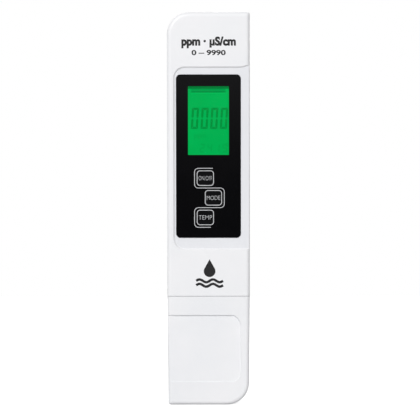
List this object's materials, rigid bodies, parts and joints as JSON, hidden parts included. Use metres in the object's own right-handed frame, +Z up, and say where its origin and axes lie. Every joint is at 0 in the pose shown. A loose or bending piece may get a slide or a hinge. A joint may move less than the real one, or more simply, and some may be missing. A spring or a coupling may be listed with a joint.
{
  "type": "pen water tester",
  "caption": "Pen-shaped water tester: backlit display, press keys, pull-off cap over metal electrodes, sliding battery cover and pocket clip.",
  "frame": {"origin": "middle of the cap's flat end, halfway through the depth of the case", "axes": "+Z up along the pen from the cap to the top; -Y is the way the display faces; +X is to the reader's right"},
  "size_m": [0.0326, 0.0199, 0.155],
  "materials": {
    "shell_white": "satin moulded",
    "panel_black": "gloss",
    "window_clear": "gloss",
    "display_green": "backlit",
    "display_bezel": "moulded",
    "guide_clear": "frosted",
    "lamp_body": "moulded",
    "strip_rubber": "satin",
    "key_black": "gloss",
    "switch_black": "moulded",
    "board_green": "solder mask",
    "chip_resin": "cast resin",
    "crystal_steel": "drawn can",
    "resistor_black": "ceramic chip",
    "capacitor_tan": "ceramic chip",
    "film_grey": "adhesive film",
    "tray_white": "moulded",
    "contact_nickel": "nickel plated spring steel",
    "cell_steel": "stainless can",
    "screw_steel": "zinc plated",
    "holder_white": "moulded",
    "gasket_black": "moulded",
    "pin_titanium": "turned titanium",
    "probe_steel": "drawn tube",
    "lead_tinned": "tinned wire"
  },
  "bodies": {
    "case": {"backlight_lamps": "lamp_body", "battery_tray": "tray_white", "board_screws": "screw_steel", "bonding_film": "film_grey", "button_cell_lower": "cell_steel", "button_cell_upper": "cell_steel", "capacitors": "capacitor_tan", "case_screws": "screw_steel", "circuit_board": "board_green", "contact_strip": "strip_rubber", "controller_chip": "chip_resin", "display_frame": "display_bezel", "display_glass": "display_green", "display_window": "window_clear", "electrode_pins": "pin_titanium", "fascia_panel": "panel_black", "front_shell": "shell_white", "light_guide": "guide_clear", "negative_contact": "contact_nickel", "positive_contact": "contact_nickel", "probe_gasket": "gasket_black", "probe_holder": "holder_white", "push_switches": "switch_black", "rear_shell": "shell_white", "resistors": "resistor_black", "sensor_leads": "lead_tinned", "temperature_probe": "probe_steel", "timing_crystal": "crystal_steel"},
    "cap": {"protective_cap": "shell_white"},
    "power_key": {"power_key": "key_black", "power_plunger": "switch_black"},
    "mode_key": {"mode_key": "key_black", "mode_plunger": "switch_black"},
    "temperature_key": {"temperature_key": "key_black", "temperature_plunger": "switch_black"},
    "battery_cover": {"battery_cover": "shell_white", "bridge_contact": "contact_nickel"},
    "pocket_clip": {"pocket_clip": "shell_white"}
  },
  "joints": [
    {"name": "cap_pull", "type": "slide", "parent": "case", "child": "cap", "axis": [0, 0, -1], "range_m": [0, 0.045]},
    {"name": "power_key_press", "type": "slide", "parent": "case", "child": "power_key", "axis": [0, 1, 0], "range_m": [0, 0.00035], "stiffness_N_per_m": 900, "springref_m": -0.0006},
    {"name": "mode_key_press", "type": "slide", "parent": "case", "child": "mode_key", "axis": [0, 1, 0], "range_m": [0, 0.00035], "stiffness_N_per_m": 900, "springref_m": -0.0006},
    {"name": "temperature_key_press", "type": "slide", "parent": "case", "child": "temperature_key", "axis": [0, 1, 0], "range_m": [0, 0.00035], "stiffness_N_per_m": 900, "springref_m": -0.0006},
    {"name": "battery_cover_slide", "type": "slide", "parent": "case", "child": "battery_cover", "axis": [0, 0, 1], "range_m": [0, 0.024]},
    {"name": "clip_flex", "type": "hinge", "parent": "battery_cover", "child": "pocket_clip", "pos_m": [0, 0.0094, 0.148], "axis": [1, 0, 0], "range_deg": [0, 5], "stiffness_Nm_per_rad": 0.9, "springref_deg": -1.15}
  ]
}
